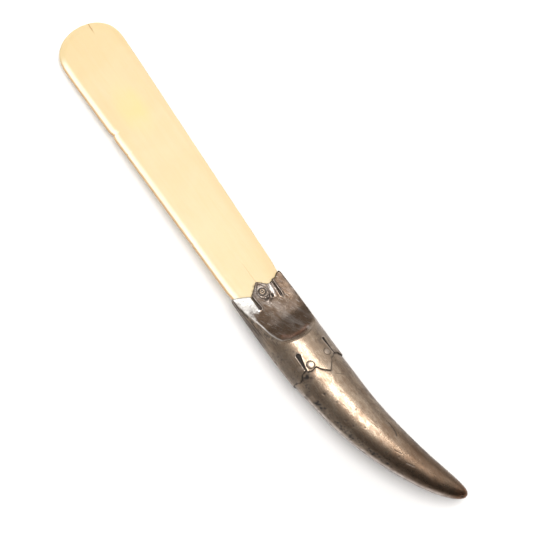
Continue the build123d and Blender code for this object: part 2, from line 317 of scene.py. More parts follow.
def collar_relief(u, v):
    # height above the plain sheet, in mm, and how dark it is
    u, vv, y, back = front_coords(u, v)
    q = np.stack([u, y], -1)
    r = np.stack([u, vv], -1)
    h, dark = np.zeros(len(u)), np.zeros(len(u))
    flat = u < 150
    # flat face: crease between lobe and slit 2, worn leaf shape round the rivet, punched ground behind it
    d, t = seg_dist(q, (135.0, 4.75), (140.7, 4.2))
    h += np.where(flat, 0.34 * np.exp(-(d / 0.5) ** 2) * (1 - 0.5 * t), 0)
    d2, t2 = seg_dist(q, (135.6, 3.55), (140.4, 3.15))
    dark += np.where(flat, 0.55 * np.exp(-(d2 / 0.3) ** 2), 0)
    d3, t3 = seg_dist(q, (135.3, 5.6), (139.8, 5.35))
    dark += np.where(flat, 0.4 * np.exp(-(d3 / 0.28) ** 2), 0)
    ra = np.hypot(u - 136.6, y - 0.6)
    ring = np.exp(-((ra - 1.5) / 0.2) ** 2)
    h -= np.where(flat, 0.14 * ring, 0)
    dark += np.where(flat, 0.95 * ring, 0)
    leaf = [(132.7, 0.9), (134.4, -0.9), (136.1, -1.7), (138.1, -1.5), (139.7, -0.2), (140.6, 0.9), (139.9, 2.0), (138.2, 2.9), (136.2, 2.9), (134.4, 2.1), (132.7, 0.9)]
    dl = poly_dist(q, leaf)
    line = np.exp(-(dl / 0.2) ** 2)
    h -= np.where(flat, 0.12 * line, 0)
    dark += np.where(flat, 0.6 * line, 0)
    ground = np.exp(-(((u - 140.2) / 1.6) ** 2 + ((y - 1.6) / 2.2) ** 2) ** 2)
    punched = waves(np.stack([u, y, 0 * u], -1), 0.9, 11)
    h += np.where(flat, ground * 0.11 * punched, 0)
    dark += np.where(flat, ground * np.clip(0.34 - 0.45 * punched, 0, 0.8), 0)
    # raised lips beside the slits, with a painted shadow beside each on one side
    for pts, amp in ((slit1, 0.13), (slit2, 0.12)):
        dd = poly_dist(q, [np.array(p) for p in pts])
        h += np.where(flat, amp * np.exp(-((dd - 0.32) / 0.24) ** 2), 0)
        dark += np.where(flat, 0.45 * np.exp(-((dd - 0.85) / 0.22) ** 2) * (y > pts[len(pts) // 2][1]), 0)
    for pts, amp in ((slit3, 0.12), (slit4, 0.12)):
        dd = poly_dist(r, [np.array(p) for p in pts])
        h += np.where(~flat, amp * np.exp(-((dd - 0.3) / 0.25) ** 2), 0)
    # lengthwise vein on the left wing
    d5, t5 = seg_dist(q, (133.2, -8.6), (139.5, -7.4))
    dark += np.where(flat, 0.25 * np.exp(-(d5 / 0.18) ** 2) * (1 - t5), 0)
    for x, a, rad, amp in RINGS:
        rr = np.hypot(u - x, vv - math.radians(a) * R0)
        g = np.exp(-((rr - rad) / 0.13) ** 2)
        h += np.where(~flat, -0.10 * amp * g + 0.10 * amp * np.exp(-((rr / (rad * 0.72)) ** 4)), 0)
        dark += np.where(~flat, 0.95 * amp * g, 0)
    return h, dark, back


# ------------------------------------------------------------------ collar mesh
def build_collar():
    v0 = -SIDE
    blade_poly = blade_side.copy()
    blade_poly[0, 1], blade_poly[-1, 1] = v0, v0 + 2 * TURN
    hs = handle_side.copy()
    # the handle edge also runs from v0 to v0 + 2 TURN: keep the points that lie inside that span and close it with end
    # points
    hs = hs[np.argsort(np.arange(len(hs)))]
    ends = [(175.75, v0)]
    body = [tuple(p) for p in hs if v0 + 0.3 < p[1] < v0 + 2 * TURN - 0.3]
    handle_poly = np.array(ends + body + [(175.75, v0 + 2 * TURN)])
    outline = np.vstack([blade_poly, handle_poly[::-1]])
    keep = [outline[0]]
    for p in outline[1:]:
        if np.linalg.norm(p - keep[-1]) > 0.045:
            keep.append(p)
    outline = np.array(keep)
    # seams left and right get matching points
    n_seam = 160
    us = np.linspace(132.62, 175.75, n_seam)
    seam_a = [(u, v0) for u in us[1:-1]]
    seam_b = [(u, v0 + 2 * TURN) for u in us[1:-1]]
    nb = len(blade_poly)
    # order: along the blade edge, up the far seam, back along the handle edge, down the near seam
    be = [p for p in resample(blade_poly, 0.16)]
    he = [p for p in resample(handle_poly, 0.16)]
    be = [p for i, p in enumerate(be) if i == 0 or np.linalg.norm(p - be[i - 1]) > 0.02]
    loop = np.array(be + seam_b + he[::-1] + seam_a[::-1])
    good = [0]
    for i in range(1, len(loop)):
        if np.linalg.norm(loop[i] - loop[good[-1]]) > 0.03:
            good.append(i)
    loop = loop[good]
    # inner points: a coarse lattice everywhere and a fine one in the decorated zones
    pts = []
    coarse = 0.34
    for i, u in enumerate(np.arange(131.5, 181, coarse)):
        for v in np.arange(v0 + coarse * 0.5 * (i % 2) + 0.17, v0 + 2 * TURN - 0.1, coarse):
            pts.append((u, v))
    pts = np.array(pts)

    def fine_zone(p):
        vv = wrap_v(p[:, 1])
        b = np.abs(vv) > SIDE
        vv = np.where(b, wrap_v(vv + TURN), vv)
        z1 = (p[:, 0] < 143.6) & (np.abs(vv) < 15.5)
        z2 = (p[:, 0] > 165.6) & (vv > -11.5) & (vv < 13.5)
        return z1 | z2

    fine = []
    gap = 0.17
    for i, u in enumerate(np.arange(131.5, 181, gap)):
        if 143.6 < u < 165.6:
            continue
        for v in np.arange(v0 + gap * 0.5 * (i % 2) + 0.08, v0 + 2 * TURN - 0.1, gap):
            fine.append((u, v))
    fine = np.array(fine)
    pts = np.vstack([pts[~fine_zone(pts)], fine[fine_zone(fine)]])
    pts = pts[inside(pts, loop)]
    # keep clear of the outline and the seams
    tree = KDTree(len(loop))
    for i, p in enumerate(loop):
        tree.insert((p[0], p[1], 0), i)
    tree.balance()
    seam_v = (np.abs(pts[:, 1] - v0) < 0.08) | (np.abs(pts[:, 1] - v0 - 2 * TURN) < 0.08)
    dist = np.array([tree.find((p[0], p[1], 0))[2] for p in pts])
    pts = pts[(dist > 0.13) & ~seam_v]
    allp = np.vstack([loop, pts])
    n = len(loop)
    edges = [(i, (i + 1) % n) for i in range(n)]
    res = delaunay_2d_cdt([Vector(p) for p in allp.tolist()], edges, [], 1, 1e-5)
    uv = np.array([tuple(p) for p in res[0]])
    tris = np.array([f for f in res[2]], int)
    return uv, tris


def edge_loops(tris):
    # directed border edges of a triangle mesh
    e = np.vstack([tris[:, [0, 1]], tris[:, [1, 2]], tris[:, [2, 0]]])
    key = {}
    for a, b in e.tolist():
        key[(a, b)] = True
    return [(a, b) for a, b in key if (b, a) not in key]


def vertex_normals(p, tris):
    n = np.zeros_like(p)
    f = np.cross(p[tris[:, 1]] - p[tris[:, 0]], p[tris[:, 2]] - p[tris[:, 0]])
    for i in range(3):
        np.add.at(n, tris[:, i], f)
    return n / np.maximum(np.linalg.norm(n, axis=1, keepdims=True), 1e-12)


def weld(p, tris, tol=0.004):
    key = np.round(p / tol).astype(np.int64)
    _, first, inverse = np.unique(key, axis=0, return_index=True, return_inverse=True)
    inverse = inverse.reshape(-1)
    tris = inverse[tris]
    tris = tris[(tris[:, 0] != tris[:, 1]) & (tris[:, 1] != tris[:, 2]) & (tris[:, 2] != tris[:, 0])]
    return first, tris


def collar_arrays():
    uv, tris = build_collar()
    p = collar_point(uv[:, 0], uv[:, 1])
    first, tris = weld(p, tris)
    p, uv = p[first], uv[first]
    nrm = vertex_normals(p, tris)
    c = np.stack([p[:, 0], c_y(p[:, 0]), 0 * p[:, 0]], 1)
    if ((p - c) * nrm).sum() < 0:
        tris = tris[:, ::-1]
        nrm = -nrm
    border = edge_loops(tris)
    rim = sorted({i for e in border for i in e})
    tree = KDTree(len(rim))
    for i in rim:
        tree.insert(p[i], i)
    tree.balance()
    e = np.array([tree.find(q)[2] for q in p])
    h, dark, back = collar_relief(uv[:, 0], uv[:, 1])
    # worn-round edges, low dents, and the hand-made unevenness of the scooped faces
    h = h - 0.17 * np.clip(1 - e / 0.34, 0, 1) ** 1.6
    h += 0.022 * waves(p, 7.0, 3) + 0.008 * waves(p, 2.2, 4)
    h *= 1.0
    # dark along every cut edge: partly dirt, partly painted shade
    edge_dark = 0.75 * np.exp(-(e / 0.13) ** 2)
    outer = p + nrm * h[:, None]
    inner = p - nrm * SHEET
    n = len(p)
    faces = [tuple(t) for t in tris.tolist()] + [(c_ + n, b_ + n, a_ + n) for a_, b_, c_ in tris.tolist()]
    # rounded wall round every cut edge: one more row half way
    mid_index = {}
    mids = []
    for i in rim:
        mid_index[i] = 2 * n + len(mids)
        mids.append(p[i] - nrm[i] * SHEET * 0.5)
    # push the middle row a little outwards so that the edge is round
    out_dir = np.zeros((len(rim), 3))
    pos = {i: k for k, i in enumerate(rim)}
    for a, b in border:
        t = p[b] - p[a]
        o = np.cross(t, nrm[a])
        o /= max(np.linalg.norm(o), 1e-9)
        out_dir[pos[a]] += o
        out_dir[pos[b]] += o
    ln = np.linalg.norm(out_dir, axis=1, keepdims=True)
    out_dir /= np.maximum(ln, 1e-9)
    mids = np.array(mids) + out_dir * 0.05
    for a, b in border:
        faces.append((b, a, mid_index[a], mid_index[b]))
        faces.append((mid_index[b], mid_index[a], a + n, b + n))
    verts = np.vstack([outer, inner, mids])
    # the inner face and the cut-edge walls are painted near black as shade
    grime_and_shade = np.concatenate([np.clip(dark + edge_dark, 0, 1), np.full(n, 0.9), np.full(len(mids), 0.8)])
    rise = np.concatenate([h, np.zeros(n), np.zeros(len(mids))])
    return verts, faces, grime_and_shade, rise, uv, n, e


# ------------------------------------------------------------------ tusk surface
_rows = []
for x in (165.9, 168.0, 170.0, 172.5, 175.5, 178.0, 181.0):
    _rows.append((x, float(c_y(x)), 0.0, float(c_w(x)) - 0.54, (float(c_t(x)) - 0.54) / (float(c_w(x)) - 0.54)))
_rows += TUSK + [(250.68, 22.33, 33.1, 0.0, 1.0)]
_tr = np.array(_rows)
_tl = np.concatenate([[0], np.cumsum(np.hypot(np.diff(_tr[:, 0]), np.diff(_tr[:, 3])))])
tk = [pchip(_tl, _tr[:, i]) for i in range(5)]
TUSK_LEN = _tl[-1]


def tusk_point(l, phi, off=0.0):
    x, y, a, w, k = (f(l) for f in tk)
    a = np.radians(a)
    t = np.maximum(w * k - off, 0)
    w = np.maximum(w - off, 0)
    s = w * np.sin(phi)
    return np.stack([x - np.sin(a) * s, y + np.cos(a) * s, t * np.cos(phi)], -1)


PITS = [  # station, angle, radius, depth, darkness on the tusk
    (185.4, -32.5, 0.55, 0.16, 1.0), (190.9, -23.3, 0.33, 0.08, 0.7), (198.5, -38.2, 0.5, 0.1, 0.8), (201.9, -35.0, 0.4, 0.1, 0.8),
    (198.1, -2.4, 0.36, 0.07, 0.55), (188.7, -0.4, 0.28, 0.05, 0.5), (199.7, -52.0, 0.4, 0.1, 0.8), (215.2, -53.5, 0.5, 0.12, 0.9),
    (220.6, -60.0, 0.6, 0.14, 1.0), (212.8, -57.9, 0.45, 0.1, 0.7), (226.3, -47.0, 0.4, 0.08, 0.6), (237.6, -54.0, 0.4, 0.08, 0.7),
    (249.0, -44.0, 0.5, 0.15, 1.0), (193.5, 22.0, 0.3, 0.05, 0.4), (207.0, 12.0, 0.35, 0.06, 0.45), (205.5, -18.0, 0.3, 0.06, 0.5),
    (231.0, 8.0, 0.3, 0.05, 0.4), (222.5, -20.0, 0.35, 0.06, 0.5), (216.0, 38.0, 0.3, 0.05, 0.4),
]


def build_tusk(side):
    sgn = 1 if side == "front" else -1
    nl, na = 470, 150
    # finer rows towards the tip, where the form turns fast
    l = np.concatenate([np.linspace(0, TUSK_LEN - 9, nl - 90, endpoint=False), TUSK_LEN - 9 + 9 * np.sin(np.linspace(0, math.pi / 2, 90))])
    gap = 0.012
    phi = np.linspace(-math.pi / 2, math.pi / 2, na)
    L, F = np.meshgrid(l, phi, indexing="ij")
    p = tusk_point(L, F)
    eps = 1e-3
    du = tusk_point(np.clip(L + eps * 30, 0, TUSK_LEN - 1e-4), F) - tusk_point(np.clip(L - eps * 30, 0, TUSK_LEN - 1e-2), F)
    dv = tusk_point(L, F + eps) - tusk_point(L, F - eps)
    nrm = np.cross(dv, du)
    nn = np.linalg.norm(nrm, axis=-1, keepdims=True)
    nrm = nrm / np.maximum(nn, 1e-9)
    flip = (nrm[..., 2] * 1.0).sum() < 0
    if flip:
        nrm = -nrm
    tip = np.array([math.cos(math.radians(33)), math.sin(math.radians(33)), 0])
    wt = step(TUSK_LEN - 0.35, TUSK_LEN, L)[..., None]
    nrm = nrm * (1 - wt) + tip * wt
    nrm /= np.linalg.norm(nrm, axis=-1, keepdims=True)
    stat = tk[0](L)
    deg = np.degrees(F)
    arc = np.radians(deg) * np.maximum(tk[3](L), 0.3)
    h = 0.014 * waves(p, 15.0, 21) + 0.006 * waves(p, 6.0, 22) + 0.002 * waves(p, 2.4, 23)
    h *= step(TUSK_LEN, TUSK_LEN - 12, L) * 0.7 + 0.3
    dark = np.zeros_like(h)
    wear_and_painted_sheen = np.zeros_like(h)
    if side == "front":
        for x, a, r, d, k in PITS:
            rr = np.hypot(stat - x, (deg - a) * math.pi / 180 * tk[3](L))
            wob = 1 + 0.25 * np.sin(3 * np.arctan2(deg - a, (stat - x) * 6 + 1e-6) + x)
            g = np.exp(-(rr / (r * wob)) ** 2)
            h -= d * g
            dark += k * np.exp(-(rr / (r * 0.85 * wob)) ** 2)
        q = np.stack([stat, arc], -1)

        def at(x, a):
            w = float(np.interp(x, _tr[:, 0], _tr[:, 3]))
            return np.array([x, math.radians(a) * w])

        for pts, width, k, dep in (
            ([(210.8, 37.5), (212.0, 36.0), (213.75, 33.9), (215.3, 30.0), (216.5, 24.3), (216.6, 23.0)], 0.20, 1.0, 0.07),
            ([(181.5, 16.0), (182.8, 24.0), (184.2, 32.8)], 0.16, 0.6, 0.05),
            ([(219.5, -12.0), (222.5, -8.5)], 0.2, 0.3, 0.06),
            ([(226.0, -22.0), (229.0, -17.0)], 0.2, -0.22, 0.03),
            ([(203.0, 2.0), (209.5, 5.0)], 0.12, 0.2, 0.03),
            ([(186.0, -44.0), (193.0, -46.5)], 0.14, 0.4, 0.03),
            ([(241.0, 10.0), (245.0, 2.0)], 0.14, 0.3, 0.03),
        ):
            c = [at(*s) for s in pts]
            d = poly_dist(q, c)
            g = np.exp(-(d / width) ** 2)
            h -= dep * g
            dark += max(k, 0) * g
            wear_and_painted_sheen += max(-k, 0) * g
        # grime packed against the lobes of the collar
        rim = handle_front
        d = poly_dist(np.stack([stat, np.radians(deg) * R0], -1), [r for r in rim[::3]])
        near = stat < 184
        dark += np.where(near, 0.8 * np.exp(-(d / 0.42) ** 2), 0)
        blob = np.exp(-(((stat - 175.9) / 1.6) ** 2 + ((deg + 38.5) / 9.0) ** 2))
        blob += 0.7 * np.exp(-(((stat - 177.4) / 1.3) ** 2 + ((deg + 31) / 6.0) ** 2))
        dark += 1.1 * blob * np.clip(0.62 + 0.6 * waves(p, 1.7, 31), 0, 1)
    else:
        rim = handle_front
        d = poly_dist(np.stack([stat, np.radians(-deg) * R0], -1), [r for r in rim[::3]])
        dark += np.where(stat < 184, 0.7 * np.exp(-(d / 0.42) ** 2), 0)
        rng = np.random.default_rng(77)
        for _ in range(22):
            x, a, r = rng.uniform(184, 248), rng.uniform(-75, 75), rng.uniform(0.25, 0.5)
            rr = np.hypot(stat - x, (deg - a) * math.pi / 180 * tk[3](L))
            g = np.exp(-(rr / r) ** 2)
            h -= 0.08 * g
            dark += rng.uniform(0.3, 0.9) * g
    # solder seam along both sides: a shallow vee with dirt in it
    seam = (90 - np.abs(deg)) * math.pi / 180 * np.maximum(tk[3](L), 0.4)
    mott = np.clip(0.5 * waves(p, 3.2, 93) + 0.6 * waves(p, 1.2, 94) - 0.10, 0, 1)
    dark += 0.60 * mott * step(-20, -48, deg if side == "front" else -deg) * step(236, 212, stat)
    dark += 0.22 * mott * step(12, 40, deg if side == "front" else -deg)
    low = deg if side == "front" else -deg
    # painted shade on both flanks, kept off a narrow band by the seam; along that band a pale painted reflection of the
    # floor
    rim_band = step(3.8, 2.4, seam)
    mott2 = np.clip(0.72 + 0.28 * waves(p, 5.0, 96) + 0.16 * waves(p, 1.6, 97), 0.3, 1)
    dark += (0.50 * step(-44, -62, low) + 0.34 * step(44, 62, low)) * mott2 * (1 - rim_band) * step(174, 182, stat)
    wear_and_painted_sheen += 0.62 * np.exp(-((seam - 1.35) / 1.15) ** 2) * step(176, 180, stat) * step(248, 240, stat) * (0.75 + 0.25 * waves(p, 4.0, 95))
    h -= 0.07 * np.exp(-(seam / 0.30) ** 2) * step(TUSK_LEN, TUSK_LEN - 4, L)
    dark += 0.55 * np.exp(-(seam / 0.22) ** 2) * (0.55 + 0.45 * waves(p, 5.0, 40))
    # under the collar the metal is near black: tarnish and painted shade
    under = step(175.5, 172.0, stat)
    dark = np.maximum(dark, 0.95 * under)
    h *= 1 - under
    outer = p + nrm * h[..., None]
    outer[..., 2] = np.maximum(outer[..., 2], 0.0)
    outer[:, 0, 2] = outer[:, -1, 2] = gap
    outer[..., 2] = np.maximum(outer[..., 2], gap)
    # inner wall: coarser is enough, but the same lattice keeps the shell closed and simple
    li = np.clip(L, 0, TUSK_LEN - 2.2)
    inner = tusk_point(li, F, WALL)
    inner[..., 2] = np.maximum(inner[..., 2], gap)
    verts = np.vstack([outer.reshape(-1, 3), inner.reshape(-1, 3)])
    verts[:, 2] *= sgn
    n = nl * na
    f_out = grid_faces(nl, na)
    f_in = grid_faces(nl, na, n, flip=True)
    i = np.arange(nl - 1)
    j = np.arange(na - 1)
    s0 = np.stack([i * na, n + i * na, n + (i + 1) * na, (i + 1) * na], 1)
    s1 = np.stack([i * na + na - 1, (i + 1) * na + na - 1, n + (i + 1) * na + na - 1, n + i * na + na - 1], 1)
    m0 = np.stack([j, j + 1, n + j + 1, n + j], 1)
    faces = np.vstack([f_out, f_in, s0, s1, m0])
    if sgn < 0:
        faces = faces[:, ::-1]
    # the inner wall is painted near black as shade
    attrs = dict(grime_and_shade=np.concatenate([np.clip(dark, 0, 1).ravel(), np.full(n, 0.9)]),
                 wear_and_painted_sheen=np.concatenate([np.clip(wear_and_painted_sheen, 0, 1).ravel(), np.zeros(n)]),
                 station=np.concatenate([stat.ravel(), stat.ravel()]))
    # weld the pole at the tip and the far end of the inner wall, dropping faces that collapse there
    first, inv = weld_quads(verts, faces)
    return verts[first], inv, {k: v[first] for k, v in attrs.items()}


def weld_quads(p, quads, tol=0.003):
    key = np.round(p / tol).astype(np.int64)
    _, first, inverse = np.unique(key, axis=0, return_index=True, return_inverse=True)
    inverse = inverse.reshape(-1)
    out = []
    for f in inverse[quads].tolist():
        g = []
        for i in f:
            if i not in g:
                g.append(i)
        if len(g) > 2:
            out.append(tuple(g))
    return first, out


# ------------------------------------------------------------------ blade
CHIPS = [(47.6, -1, 0.62, 1.0), (57.7, -1, 0.22, 0.5), (21.0, 1, 0.16, 0.6), (88.0, 1, 0.14, 0.5), (3.2, -1, 0.2, 0.7), (104.0, -1, 0.1, 0.6)]


def blade_half(x, side):
    h = b_h(x)
    for cx, s, dep, wid in CHIPS:
        if s == side:
            h = h - dep * np.exp(-np.abs((x - cx) / wid) ** 1.5) * (1 + 0.35 * np.sin((x - cx) * 5))
    h = h + 0.02 * np.sin(x * 0.9 + side) * step(4, 20, x) + 0.012 * np.sin(x * 2.3 + 2 * side) * step(4, 20, x)
    return h


def build_blade():
    xs = np.concatenate([
        [0, 0.02, 0.05, 0.09, 0.14, 0.2, 0.27, 0.35, 0.45, 0.57, 0.7, 0.85, 1.0, 1.2, 1.4, 1.65, 1.9, 2.2, 2.5, 2.8], np.arange(3.1, 14, 0.32),
        np.arange(14, 46, 0.5), np.arange(46, 49.4, 0.14), np.arange(49.5, 56.5, 0.5), np.arange(56.7, 58.8, 0.14), np.arange(59, 131, 0.5), np.arange(131, 143.01, 0.3),
    ])
    xs = np.unique(np.round(xs, 3))
    xs = xs[xs <= 143.0]
    # lattice across: fine at the edges and at the shoulder of the bevel
    d = np.array([0, 0.015, 0.04, 0.08, 0.13, 0.2, 0.29, 0.4, 0.55, 0.75, 1.0, 1.4, 1.8, 2.2, 2.6, 3.0, 3.4, 3.8, 4.2, 4.6, 5.0, 5.5, 6.2, 7.0, 8.0, 9.5, 11.4])
    v = np.concatenate([-(1 - d / 11.5), [0], (1 - d / 11.5)[::-1]])
    v = np.unique(np.round(v, 6))
    X, V = np.meshgrid(xs, v, indexing="ij")
    hl, hr = blade_half(X, -1), blade_half(X, 1)
    # keep the distance from the edge the same in mm wherever the blade is wide
    D = (1 - np.abs(V)) * 11.5
    h = np.where(V < 0, hl, hr)
    wide = np.where(D < 7.0, h - D, (h - 7.0) * (11.5 - D) / 4.5)
    narrow = h * np.abs(V)
    k = step(6.0, 12.0, X)
    Y = np.sign(V) * (narrow * (1 - k) + wide * k)
    # true distance from the outline near the nose
    dist = np.maximum(h - np.abs(Y), 0)
    ox = np.concatenate([np.linspace(0, 0.3, 120), np.linspace(0.3, 3, 300), np.linspace(3, 26, 500)])
    outl = np.vstack([np.stack([ox, -blade_half(ox, -1)], 1), np.stack([ox, blade_half(ox, 1)], 1), np.stack([np.zeros(60), np.linspace(-1.6, 1.6, 60)], 1)])
    near = X < 19
    pts = np.stack([X[near], Y[near]], 1)
    best = np.full(len(pts), 1e9)
    for i in range(0, len(outl), 100):
        best = np.minimum(best, np.min(np.linalg.norm(pts[:, None] - outl[None, i : i + 100], axis=2), axis=1))
    dn = dist.copy()
    dn[near] = best
    border = (np.abs(V) > 0.9999) | (X < 1e-6)
    kk = step(19, 15, X)
    dist = np.where(border, 0, dn * kk + dist * (1 - kk))
    T = b_t(X)
    bev = 2.4 + 2.0 * X / 130.0
    lin = 0.60 * T + 0.40 * T * (dist - 0.35) / (bev - 0.35)
    z = smin(T + 0 * X, lin, 0.10 * T)
    z *= (1 - (1 - np.clip(dist / 0.62, 0, 1)) ** 2.1) ** 0.52
    P = np.stack([X, Y, z], -1)
    # hand-finished faces: very low waves along the length
    lowz = 0.022 * waves(P, 16.0, 61) + 0.010 * waves(P * [0.25, 1, 1], 2.6, 62)
    inner = step(0.0, 1.0, dist)
    up = P.copy()
    up[..., 2] += lowz * inner
    # the short split at the nose and the check by the collar are fine grooves
    q = np.stack([X, Y], -1)
    split = poly_dist(q, [np.array(a) for a in ((0.0, 5.1), (1.5, 5.04), (3.4, 4.8), (5.6, 4.85), (8.25, 4.9))])
    up[..., 2] -= 0.10 * np.exp(-(split / 0.22) ** 2) * step(8.5, 2.0, X) * inner
    dn_ = P.copy()
    dn_[..., 2] = -(P[..., 2] + 0.022 * waves(P, 16.0, 63) * inner)
    nu, nv = X.shape
    # tang: a plain tapering bar that runs on into the handle, joined to the full-width part by its shoulders
    verts = np.vstack([up.reshape(-1, 3), dn_.reshape(-1, 3)])
    n = nu * nv
    faces = [tuple(f) for f in grid_faces(nu, nv).tolist()] + [tuple(f) for f in grid_faces(nu, nv, n, flip=True).tolist()]
    # end of the full-width part, then the tang
    last = (nu - 1) * nv
    ty = Y[-1]
    tang_x = [143.0, 143.4, 150, 160, 170, 180, 185, 187, 188]
    tang_h = [None, 6.45, 6.1, 5.6, 5.1, 4.6, 4.1, 3.2, 2.2]
    prev_up, prev_dn = np.arange(nv) + last, np.arange(nv) + last + n
    count = len(verts)
    add = []
    for tx, th in zip(tang_x[1:], tang_h[1:]):
        yy = v * th + 0.4
        zz = 1.5 * (1 - np.abs(v) ** 14) ** 0.5
        zz = np.where(np.abs(v) > 0.99999, 0, zz)
        a = np.stack([np.full(nv, tx), yy, zz], 1)
        b = a * [1, 1, -1]
        cur_up, cur_dn = np.arange(nv) + count, np.arange(nv) + count + nv
        add += [a, b]
        count += 2 * nv
        for j in range(nv - 1):
            faces.append((int(prev_up[j]), int(cur_up[j]), int(cur_up[j + 1]), int(prev_up[j + 1])))
            faces.append((int(prev_dn[j + 1]), int(cur_dn[j + 1]), int(cur_dn[j]), int(prev_dn[j])))
        prev_up, prev_dn = cur_up, cur_dn
    for j in range(nv - 1):
        faces.append((int(prev_up[j]), int(prev_dn[j]), int(prev_dn[j + 1]), int(prev_up[j + 1])))
    verts = np.vstack([verts] + add)
    # black under the collar, partly pitch stain and partly painted shade, and a thin dark line along the collar's edge,
    # dirt and painted shade; the split and the check are browned in the bone material
    x, y, zt = verts[:, 0], verts[:, 1], verts[:, 2]
    qq = np.stack([x, np.where(zt >= 0, y, -y)], 1)
    rimline = np.vstack([[132.62, -14]] + [np.array(front_plan)] + [[132.8, 14]])
    poly = np.vstack([rimline, [[200, 14], [200, -14]]])
    ins = inside(qq, poly)
    dd = poly_dist(qq, [r for r in rimline])
    sd = np.where(ins, dd, -dd)
    grime_and_shade = step(-0.16, 0.28, sd) * 0.97
    grime_and_shade = np.maximum(grime_and_shade, 0.30 * np.exp(-(np.clip(-sd, 0, 9) / 0.28) ** 2))
    # pitch dirt and painted shade where the blade shows through the slits
    for m0, m1 in (((136.5, -4.42), (142.7, -4.2)), ((135.6, 6.55), (142.4, 6.45))):
        grime_and_shade = np.maximum(grime_and_shade, 0.94 * np.clip(1.6 - poly_dist(qq, [np.array(m0), np.array(m1)]) / 0.6, 0, 1))
    left, right = blade_half(np.clip(x, 0, 143), -1) + y, blade_half(np.clip(x, 0, 143), 1) - y
    body = step(7.0, 13.0, x) * (x < 143.01)
    # painted highlight: the left bevel is coloured paler where it would catch the lamp's reflection
    bevel_highlight = step(3.1, 1.5, left) * step(0.50, 0.85, left) * body * (zt > 0)
    # painted shade: the side walls and lower edges, which lie in shadow, are coloured warm orange-brown
    side = step(0.80, 0.40, left) * body + 0.45 * step(0.35, 0.05, right) * body + 0.10 * step(3.0, 1.5, right) * body
    side = np.maximum(side, np.where(zt < -0.2, 0.5 * step(0.9, 0.3, left) * body, 0))
    attrs = dict(grime_and_shade=grime_and_shade, bevel_highlight=np.clip(bevel_highlight, 0, 1), side=np.clip(side, 0, 1))
    first, out = weld_quads(verts, np.array([f if len(f) == 4 else f + (f[-1],) for f in faces]), 0.001)
    return verts[first], out, {k_: a_[first] for k_, a_ in attrs.items()}


# ------------------------------------------------------------------ rivet
def build_rivet():
    # a turned profile: front head, pin, back head
    z0 = float(s_z(136.6)) - float(s_m(136.6)) * 0.6
    head = [(0.0, 0.30), (0.16, 0.295), (0.30, 0.255), (0.40, 0.17), (0.47, 0.12), (0.55, 0.15), (0.66, 0.235), (0.80, 0.275), (0.95, 0.27), (1.08, 0.225), (1.17, 0.14), (1.22, 0.04), (1.235, -0.08)]
    prof = [(r, z0 + h) for r, h in head] + [(0.9, z0 - 0.1), (0.6, z0 - 0.12), (0.6, 0.0)]
    prof = prof + [(r, -z) for r, z in reversed(prof[:-1])]
    m = 64
    verts, faces = [], []
    rings = []
    for r, z in prof:
        if r == 0:
            rings.append([len(verts)])
            verts.append((136.6, 0.6, z))
        else:
            rings.append(list(range(len(verts), len(verts) + m)))
            for i in range(m):
                t = 2 * math.pi * i / m
                wob = 1 + 0.02 * math.sin(3 * t + 0.6)
                verts.append((136.6 + r * wob * math.cos(t), 0.6 + r * wob * math.sin(t), z))
    for a, b in zip(rings[:-1], rings[1:]):
        for i in range(m):
            j = (i + 1) % m
            if len(a) == 1:
                faces.append((a[0], b[i], b[j]))
            elif len(b) == 1:
                faces.append((a[i], b[0], a[j]))
            else:
                faces.append((a[i], b[i], b[j], a[j]))
    verts = np.array(verts)
    r = np.hypot(verts[:, 0] - 136.6, verts[:, 1] - 0.6)
    grime_and_shade = 0.9 * np.exp(-((r - 0.47) / 0.12) ** 2) + 0.95 * step(1.12, 1.24, r)
    return verts, faces, dict(grime_and_shade=np.clip(grime_and_shade, 0, 1), wear_and_painted_sheen=0.3 * np.exp(-(r / 0.3) ** 2))


